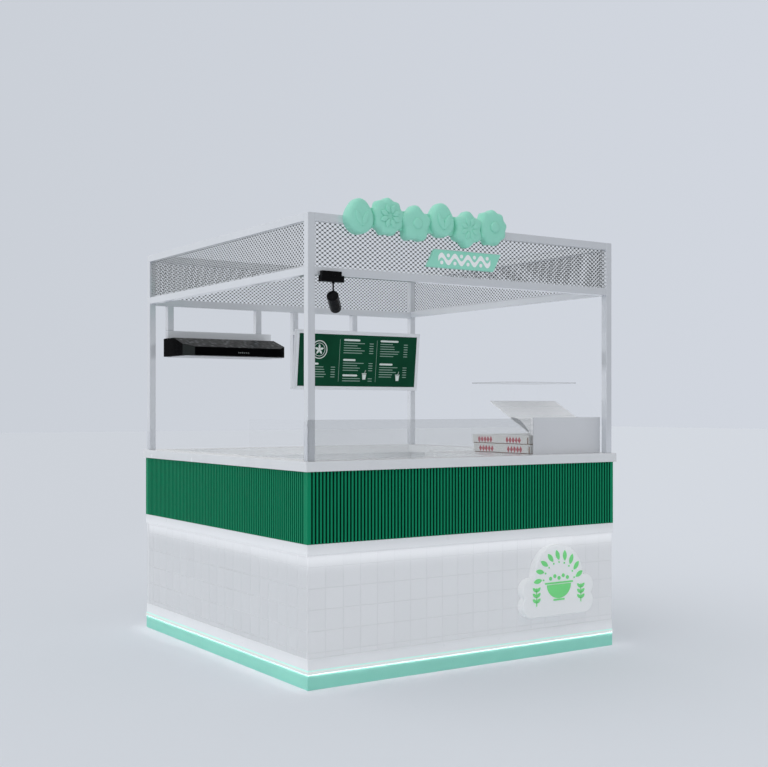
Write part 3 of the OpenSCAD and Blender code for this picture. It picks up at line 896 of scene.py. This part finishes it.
def leaning_plane(node):
    """The plane of a leaning panel's front face, with its width and height."""
    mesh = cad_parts[node].data
    facing_front, hair = -0.9, 1e-5
    faces = [p for p in mesh.polygons if p.normal.y < facing_front]
    points = [mesh.vertices[i].co for p in faces for i in p.vertices]
    foot_z, top_z = min(p.z for p in points), max(p.z for p in points)
    left, right = min(p.x for p in points), max(p.x for p in points)
    foot = next(p for p in points if p.z < foot_z + hair)
    top = next(p for p in points if p.z > top_z - hair)
    origin = Vector((left, foot.y, foot.z))
    up = Vector((0, top.y - foot.y, top.z - foot.z))
    height = up.length
    up.normalize()
    out = Vector((0, -up.z, up.y))

    def plane(u, v, h):
        return origin + Vector((u, 0, 0)) + up * v + out * h

    return plane, right - left, height


def menu_panel():
    """The green sheet with columns of plain rows, rules and a few simple drawings."""
    plane, width, height = leaning_plane("menu_panel")
    dice = random.Random(MENU_SEED)
    shape = Shape()
    shape.prism(plane, block(0, width, 0, height), -MENU_T, 0)

    def bar(u0, u1, v, h, mark):
        shape.prism(plane, pill(u0, u1, v, h, 3), 0, MENU_PRINT, mark)

    for u0, u1, groups in MENU_COLUMNS:
        for top, length, count in groups:
            bar(u0, u0 + length, top, MENU_HEADING_H, 1)
            for k in range(count):
                v = top - MENU_FIRST_ROW - k * MENU_ROW_PITCH
                bar(u0, u0 + (u1 - u0) * dice.uniform(*MENU_ROW_SHARE), v, MENU_ROW_H, 2)
                bar(u1 - MENU_PRICE_W, u1, v, MENU_ROW_H, 2)
    margin = height * MENU_RULE_MARGIN
    for u in MENU_RULES:
        rule = block(u - MENU_RULE_W / 2, u + MENU_RULE_W / 2, margin, height - margin)
        shape.prism(plane, rule, 0, MENU_PRINT, 2)
    for radius, line in MENU_RINGS:
        ring_print(shape, plane, *MENU_MEDAL, radius, line)
    leaves, leaf_l, leaf_w, first_turn = MENU_STAR
    for k in range(leaves):
        turn = 2 * math.pi * k / leaves + first_turn
        shape.prism(plane, leaf(*MENU_MEDAL, leaf_l, leaf_w, turn), 0, MENU_PRINT, 1)
    for u, v in MENU_CUPS:
        cup_print(shape, plane, u, v)
    make("menu_sheet", shape, ["menu_green", "menu_white", "menu_pale"], ["menu_panel"])


def ring_print(shape, plane, u, v, radius, line, count=36):
    """A printed ring about (u, v), as a chain of short blocks."""
    for i in range(count):
        ends = [2 * math.pi * j / count for j in (i, i + 1)]
        inner = [(u + (radius - line) * math.cos(t), v + (radius - line) * math.sin(t)) for t in ends]
        outer = [(u + radius * math.cos(t), v + radius * math.sin(t)) for t in reversed(ends)]
        shape.prism(plane, inner + outer, 0, MENU_PRINT, 1)


def cup_print(shape, plane, u, v):
    """A small cup with a lid and a straw."""
    cup, straw = ([(u + a, v + b) for a, b in outline] for outline in (CUP, STRAW))
    lid = pill(u - LID_W / 2, u + LID_W / 2, v + LID_AT, LID_H, 3)
    for outline in (cup, lid, straw):
        shape.prism(plane, outline, 0, MENU_PRINT, 1)


def hood():
    """The black hood: enamel shell, speckled sloping face, control dots along the lip."""
    graph = clean_graph("hood_body")
    turned, steepest, flattest = 0.2, 0.3, 0.98
    for face in graph.faces:
        across, out, up = face.normal
        if steepest < up < flattest and out < -turned:
            face.material_index = 1
        elif across < -turned and out < -turned:
            face.material_index = 2
        else:
            face.material_index = 0
    mesh = bpy.data.meshes.new("hood_shell")
    graph.to_mesh(mesh)
    graph.free()
    looks = ["hood_black", "hood_speckle", "hood_corner"]
    dress("hood_shell", mesh, looks, ["hood_body"], 0.003)
    low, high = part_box("hood_body")
    plane = upright(low.y)
    middle = (low.x + high.x) / 2
    shape = Shape()
    dots, pitch, radius, above_foot, rise = 6, 0.0135, 0.0021, 0.021, 0.0008
    for k in range(dots):
        shape.prism(plane, disc(middle + k * pitch, low.z + above_foot, radius, 12), 0, rise)
    make("hood_controls", shape, ["menu_white"])


def hood_filter():
    """A pressed steel filter with a rim and long slots between bent slats."""
    low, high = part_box("hood_filter")
    shape = Shape()
    rim, drop_by, slats, slat_step = 0.016, 0.004, 20, 0.001
    foot = low.z - drop_by
    front, back = low.y + rim, high.y - rim
    shape.box(low, high)
    shape.box((low.x, low.y, foot), (high.x, front, low.z))
    shape.box((low.x, back, foot), (high.x, high.y, low.z))
    shape.box((low.x, front, foot), (low.x + rim, back, low.z))
    shape.box((high.x - rim, front, foot), (high.x, back, low.z))
    pitch = (high.x - low.x - 2 * rim) / slats
    for k in range(slats):
        u = low.x + rim + (k + 0.25) * pitch
        shape.box((u, front, foot + slat_step), (u + pitch / 2, back, low.z))
    make("hood_filter_slats", shape, ["filter_steel"], ["hood_filter"], bevel=0.0008)


def food_box(node):
    """A flat card box: tray, lid with a turned edge, tuck tabs and a printed band."""
    low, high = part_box(node)
    shape = Shape()
    card, foot, tuck, lid_play, seam_gap = 0.003, 0.005, 0.0015, 0.0005, 0.001
    tray, seam = low.z + foot, high.z - (high.z - low.z) * 0.2
    # Painted shade: the inset foot under the tray takes the brown card edge look as a dark line under
    # each box
    shape.box((low.x + foot, low.y + foot, low.z), (high.x - foot, high.y - foot, tray), 1)
    shape.box((low.x + card, low.y + card, tray), (high.x - card, high.y - card, seam))
    shape.box((low.x, low.y, seam), (high.x, high.y, high.z - lid_play))
    slot_begin = low.y + 0.004
    slot_end = slot_begin + 0.012
    shape.box((low.x, slot_end, tray), (low.x + card, high.y, seam - seam_gap))
    shape.box((low.x + tuck, slot_begin, tray), (low.x + card, slot_end, seam), 1)
    shape.box((low.x, low.y, tray), (low.x + card, slot_begin, seam - seam_gap))

    def left_side(u, v, h):
        return Vector((low.x - h, high.y - u, v))

    middle = low.z + (high.z - low.z) * 0.45
    half_height, pitch, rise = 0.0195, 0.027, 0.0006
    half_width = half_height * 0.7
    for begin in (0.065, 0.320):
        for k in range(5):
            outline = diamond(begin + pitch * k, middle, half_width, half_height)
            shape.prism(left_side, outline, 0, rise, 2)
    looks = ["food_card", "card_edge_and_shade", "red_print"]
    make(node + "_card", shape, looks, [node], bevel=0.001)


def case_deck():
    """The sloping deck: a thin sheet with shallow steps across it and a rounded cheek at each end, dark
    grey as painted shade.
    """
    low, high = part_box("case_deck")
    shape = Shape()
    steps, tread, thick = 7, 0.86, 0.008
    tread_t, cheek_root = thick * 0.7, thick * 0.5
    run, rise = high.y - low.y, high.z - low.z - thick

    def slope(y):
        return low.z + rise * (y - low.y) / run

    top = []
    for k in range(steps):
        y0, y1, y2 = (low.y + run * (k + share) / steps for share in (0, tread, 1))
        top += [(y0, slope(y0) + tread_t), (y1, slope(y1) + tread_t)]
        top += [(y1, slope(y1) + thick), (y2, slope(y2) + thick)]
    outline = top + [(high.y, slope(high.y)), (low.y, slope(low.y))]
    shape.stack([[(x, y, z) for y, z in outline] for x in (low.x, high.x)])
    begin, end, points = 0.10, 0.50, 12
    cheek_t, cheek_h = 0.004, 0.022
    shares = [i / points for i in range(points + 1)]
    chord = [low.y + run * (begin + (end - begin) * share) for share in shares]
    belly = [(y, slope(y) + thick + cheek_h * math.sin(math.pi * s)) for y, s in zip(chord, shares)]
    flat = [(y, slope(y) + cheek_root) for y in reversed(chord)]
    # The cheeks take deck_cheek, dark grey as painted shade
    for x in (low.x, high.x - cheek_t):
        shape.stack([[(x + dx, y, z) for y, z in belly + flat] for dx in (0, cheek_t)], 1)
    make("case_deck_steps", shape, ["case_deck", "deck_cheek"], ["case_deck"], smooth=10.0)


def groove(start, width, edge, radius, share):
    """Profile points of a groove turned into a round body, down to a share of its radius."""
    inner = radius * share
    end = start + width
    return ((start, radius), (start + edge, inner), (end - edge, inner), (end, radius))


def spot_lamp():
    """A turned lamp body on its stem, with a seam, a rear cap, a rim and its lens."""
    low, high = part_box("spot_adapter")
    radius = LAMP_D / 2
    flat = math.cos(LAMP_AIM)
    aim = Vector((flat * math.sin(LAMP_SWING), flat * math.cos(LAMP_SWING), -math.sin(LAMP_AIM)))
    stem_top = low.z
    mid_x, mid_y = (low.x + high.x) / 2, (low.y + high.y) / 2
    pivot = Vector((mid_x + LAMP_SHIFT, mid_y, stem_top - LAMP_STEM - radius))
    front = LAMP_L - radius
    seam_at, rim_at, groove_w = 0.022, front - 0.012, 0.003
    profile = (
        (-radius, radius * 0.80), (-radius + 0.002, radius * 0.93), (-radius + 0.005, radius),
        *groove(seam_at, groove_w, 0.0006, radius, 0.965),
        *groove(rim_at, groove_w, 0.0005, radius, 0.975),
        (front, radius * 0.97), (front, radius * 0.84), (rim_at, radius * 0.74),
    )
    lens = ((front - 0.011, radius * 0.73), (front - 0.009, radius * 0.66))
    shape = Shape()
    shape.turned(pivot, aim, profile)
    shape.turned(pivot, aim, lens, mark=1)
    foot = pivot + Vector((0, 0, radius * 0.6))
    rise = stem_top - foot.z
    stem, collar, collar_h = 0.004, 0.007, 0.007
    shoulder = rise - collar_h - 0.001
    post = ((0, stem), (shoulder, stem), (rise - collar_h, collar), (rise, collar))
    shape.turned(foot, (0, 0, 1), post, sides=16)
    make("spot_lamp_body", shape, ["lamp_black", "lamp_lens"], ["spot_lamp"])


def adapter_details():
    """Two screws and a release lever on the lamp's adapter."""
    low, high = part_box("spot_adapter")
    plane = upright(low.y)
    shape = Shape()
    screw, screw_z, screw_rise = 0.004, low.z + 0.013, 0.001
    for share in (0.14, 0.86):
        u = low.x + (high.x - low.x) * share
        shape.prism(plane, disc(u, screw_z, screw, 12), 0, screw_rise)
    middle = (low.x + high.x) / 2
    lever_reach, lever_z, lever_h, lever_rise = 0.012, low.z + 0.024, 0.006, 0.002
    lever = pill(middle - lever_reach, middle + lever_reach, lever_z, lever_h, 4)
    shape.prism(plane, lever, 0, lever_rise)
    make("spot_adapter_fittings", shape, ["lamp_black"])


# Studio: pale ground and an even sky that is brighter at the left, behind and above

BACKDROP_LEFT = srgb(203, 208, 216)
BACKDROP_RIGHT = srgb(209, 214, 223)
BACKDROP_ACROSS = (0.834, -0.552, 0.0)
BACKDROP_REACH = 0.3
SKY = (0.955, 0.975, 1.0, 1.0)
SKY_STRENGTH = 0.70
SKY_SLOPE = 0.55
SKY_BRIGHT_SIDE = (-0.80, 0.30, 0.52)
FLOOR = (0.80, 0.825, 0.868, 1.0)
FLOOR_TONES = (0.965, 1.035)
FLOOR_FADE = 3.0
FLOOR_REACH = 60.0

# A soft lamp low inside the walls, for the light that a pale floor throws back up
INNER_LAMP_SIZE = 1.5
INNER_LAMP_Z = 0.2
INNER_LAMP_WATTS = 9.0


def studio_sky():
    """Even light from the sky, and a plain backdrop where the camera looks past the floor."""
    world = bpy.data.worlds.new("studio")
    bpy.context.scene.world = world
    world.use_nodes = True
    nodes, links = world.node_tree.nodes, world.node_tree.links
    nodes.clear()
    shown = nodes.new("ShaderNodeLightPath").outputs["Is Camera Ray"]
    view = nodes.new("ShaderNodeTexCoord")
    towards = nodes.new("ShaderNodeVectorMath")
    towards.operation = "DOT_PRODUCT"
    towards.inputs[1].default_value = SKY_BRIGHT_SIDE
    links.new(view.outputs["Generated"], towards.inputs[0])
    level = nodes.new("ShaderNodeMath")
    level.operation = "MULTIPLY_ADD"
    level.inputs[1].default_value = SKY_STRENGTH * SKY_SLOPE
    level.inputs[2].default_value = SKY_STRENGTH
    links.new(towards.outputs["Value"], level.inputs[0])
    sky = nodes.new("ShaderNodeBackground")
    sky.inputs["Color"].default_value = SKY
    links.new(level.outputs["Value"], sky.inputs["Strength"])
    across = nodes.new("ShaderNodeVectorMath")
    across.operation = "DOT_PRODUCT"
    across.inputs[1].default_value = BACKDROP_ACROSS
    links.new(view.outputs["Generated"], across.inputs[0])
    spread = nodes.new("ShaderNodeMapRange")
    spread.inputs["From Min"].default_value = -BACKDROP_REACH
    spread.inputs["From Max"].default_value = BACKDROP_REACH
    links.new(across.outputs["Value"], spread.inputs["Value"])
    tones = nodes.new("ShaderNodeValToRGB")
    tones.color_ramp.elements[0].color = BACKDROP_LEFT
    tones.color_ramp.elements[1].color = BACKDROP_RIGHT
    links.new(spread.outputs["Result"], tones.inputs["Fac"])
    backdrop = nodes.new("ShaderNodeBackground")
    links.new(tones.outputs["Color"], backdrop.inputs["Color"])
    mix = nodes.new("ShaderNodeMixShader")
    links.new(shown, mix.inputs["Fac"])
    links.new(sky.outputs["Background"], mix.inputs[1])
    links.new(backdrop.outputs["Background"], mix.inputs[2])
    output = nodes.new("ShaderNodeOutputWorld")
    links.new(mix.outputs["Shader"], output.inputs["Surface"])


def inner_lamp():
    data = bpy.data.lights.new("inner_lamp", "AREA")
    data.size = INNER_LAMP_SIZE
    data.energy = INNER_LAMP_WATTS
    lamp = bpy.data.objects.new("inner_lamp", data)
    lamp.location = (0.0, 0.0, INNER_LAMP_Z)
    lamp.rotation_euler = (math.pi, 0.0, 0.0)
    lamp.visible_camera = False
    lamp.visible_glossy = False
    bpy.context.scene.collection.objects.link(lamp)


def studio_floor():
    """A dull floor whose tone drifts across the picture as the backdrop's does."""
    ground = Look("studio_floor")
    x, y, _ = ground.axes()
    along_x, along_y, _ = BACKDROP_ACROSS
    sideways = ground.maths("MULTIPLY_ADD", x, along_x, ground.maths("MULTIPLY", y, along_y))
    fade = ground.ranged(sideways, 0.0, 1.0, -FLOOR_FADE, FLOOR_FADE)
    left, right = (scaled(FLOOR, tone) for tone in FLOOR_TONES)
    ground.set(
        Base_Color=ground.ramp(fade, (0.0, left), (1.0, right)),
        Roughness=1.0,
        Specular_IOR_Level=0.0,
    )
    mesh = bpy.data.meshes.new("studio_floor")
    r = FLOOR_REACH
    mesh.from_pydata([(-r, -r, 0), (r, -r, 0), (r, r, 0), (-r, r, 0)], [], [(0, 1, 2, 3)])
    mesh.materials.append(ground.material)
    floor = bpy.data.objects.new("studio_floor", mesh)
    bpy.context.scene.collection.objects.link(floor)


def camera():
    data = bpy.data.cameras.new("camera")
    data.sensor_width = SENSOR_MM
    data.lens = SENSOR_MM * FOCAL_PX / IMAGE_W
    data.shift_y = (HORIZON_PX - IMAGE_H / 2) / IMAGE_W
    data.clip_end = CLIP_END
    placed = bpy.data.objects.new("camera", data)
    placed.location = CAMERA_AT
    placed.rotation_euler = (math.pi / 2, 0.0, -CAMERA_HEADING)
    bpy.context.scene.collection.objects.link(placed)
    bpy.context.scene.camera = placed


def build():
    finish_plain_nodes()
    dice = random.Random(TILE_SEED)
    for side in SIDES:
        tile_field(side, dice)
        mesh_panel(side)
    front_sign()
    plate_print()
    badge_print()
    menu_panel()
    hood()
    hood_filter()
    for node in ("lower_food_box", "upper_food_box"):
        food_box(node)
    case_deck()
    spot_lamp()
    adapter_details()
    studio_sky()
    inner_lamp()
    studio_floor()
    camera()
    bpy.context.scene.view_settings.view_transform = "Standard"


build()
